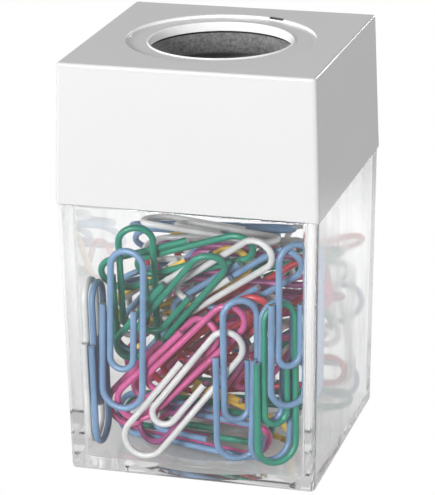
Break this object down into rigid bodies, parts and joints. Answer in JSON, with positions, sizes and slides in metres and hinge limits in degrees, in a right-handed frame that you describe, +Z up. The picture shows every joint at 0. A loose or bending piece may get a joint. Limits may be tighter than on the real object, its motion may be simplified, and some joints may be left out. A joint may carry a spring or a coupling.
{
  "type": "magnetic paper clip holder",
  "caption": "Square clear box of vinyl-coated paper clips under a white lift-off cap, with a ring magnet round the mouth in the cap's top that holds clips ready to pick.",
  "frame": {"origin": "middle of the base, on the surface that the holder stands on", "axes": "+Z up, -Y towards the front of the picture, +X to the right of the front"},
  "size_m": [0.044, 0.044, 0.0703],
  "materials": {
    "clear_plastic": "clear, polished moulding",
    "white_plastic": "glossy white moulding",
    "ferrite": "dark grey pressed ferrite, slightly mottled",
    "vinyl_blue": "smooth vinyl coat on steel wire",
    "vinyl_green": "smooth vinyl coat on steel wire",
    "vinyl_white": "smooth vinyl coat on steel wire",
    "vinyl_pink": "smooth vinyl coat on steel wire",
    "vinyl_red": "smooth vinyl coat on steel wire",
    "vinyl_yellow": "smooth vinyl coat on steel wire",
    "vinyl_magenta": "smooth vinyl coat on steel wire"
  },
  "bodies": {
    "box": {"clear_box": "clear_plastic", "clip_01_blue": "vinyl_blue", "clip_02_blue": "vinyl_blue", "clip_03_green": "vinyl_green", "clip_04_blue": "vinyl_blue", "clip_05_blue": "vinyl_blue", "clip_06_white": "vinyl_white", "clip_07_white": "vinyl_white", "clip_08_blue": "vinyl_blue", "clip_09_pink": "vinyl_pink", "clip_10_pink": "vinyl_pink", "clip_11_green": "vinyl_green", "clip_12_magenta": "vinyl_magenta", "clip_13_green": "vinyl_green", "clip_14_blue": "vinyl_blue", "clip_15_pink": "vinyl_pink", "clip_16_green": "vinyl_green", "clip_17_white": "vinyl_white", "clip_18_red": "vinyl_red", "clip_19_red": "vinyl_red", "clip_20_white": "vinyl_white", "clip_21_blue": "vinyl_blue", "clip_22_green": "vinyl_green", "clip_23_yellow": "vinyl_yellow", "clip_24_magenta": "vinyl_magenta", "clip_25_yellow": "vinyl_yellow", "clip_26_pink": "vinyl_pink", "clip_27_red": "vinyl_red", "clip_28_green": "vinyl_green", "clip_29_red": "vinyl_red", "clip_30_blue": "vinyl_blue", "clip_31_white": "vinyl_white", "clip_32_white": "vinyl_white", "clip_33_pink": "vinyl_pink", "clip_34_pink": "vinyl_pink", "clip_35_white": "vinyl_white", "clip_36_white": "vinyl_white", "clip_37_green": "vinyl_green", "clip_38_green": "vinyl_green", "clip_39_magenta": "vinyl_magenta", "clip_40_white": "vinyl_white", "clip_41_white": "vinyl_white", "clip_42_white": "vinyl_white", "clip_43_blue": "vinyl_blue", "clip_44_blue": "vinyl_blue", "clip_45_red": "vinyl_red", "clip_46_yellow": "vinyl_yellow", "clip_47_green": "vinyl_green", "clip_48_red": "vinyl_red", "clip_49_pink": "vinyl_pink", "clip_50_blue": "vinyl_blue", "clip_51_green": "vinyl_green", "clip_52_blue": "vinyl_blue", "clip_53_blue": "vinyl_blue", "clip_54_white": "vinyl_white", "clip_55_white": "vinyl_white"},
    "cap": {"cap": "white_plastic", "bezel_ring": "white_plastic", "ring_magnet": "ferrite"}
  },
  "joints": [
    {"name": "cap_lift", "type": "slide", "parent": "box", "child": "cap", "axis": [0, 0, 1], "range_m": [0, 0.03]}
  ]
}
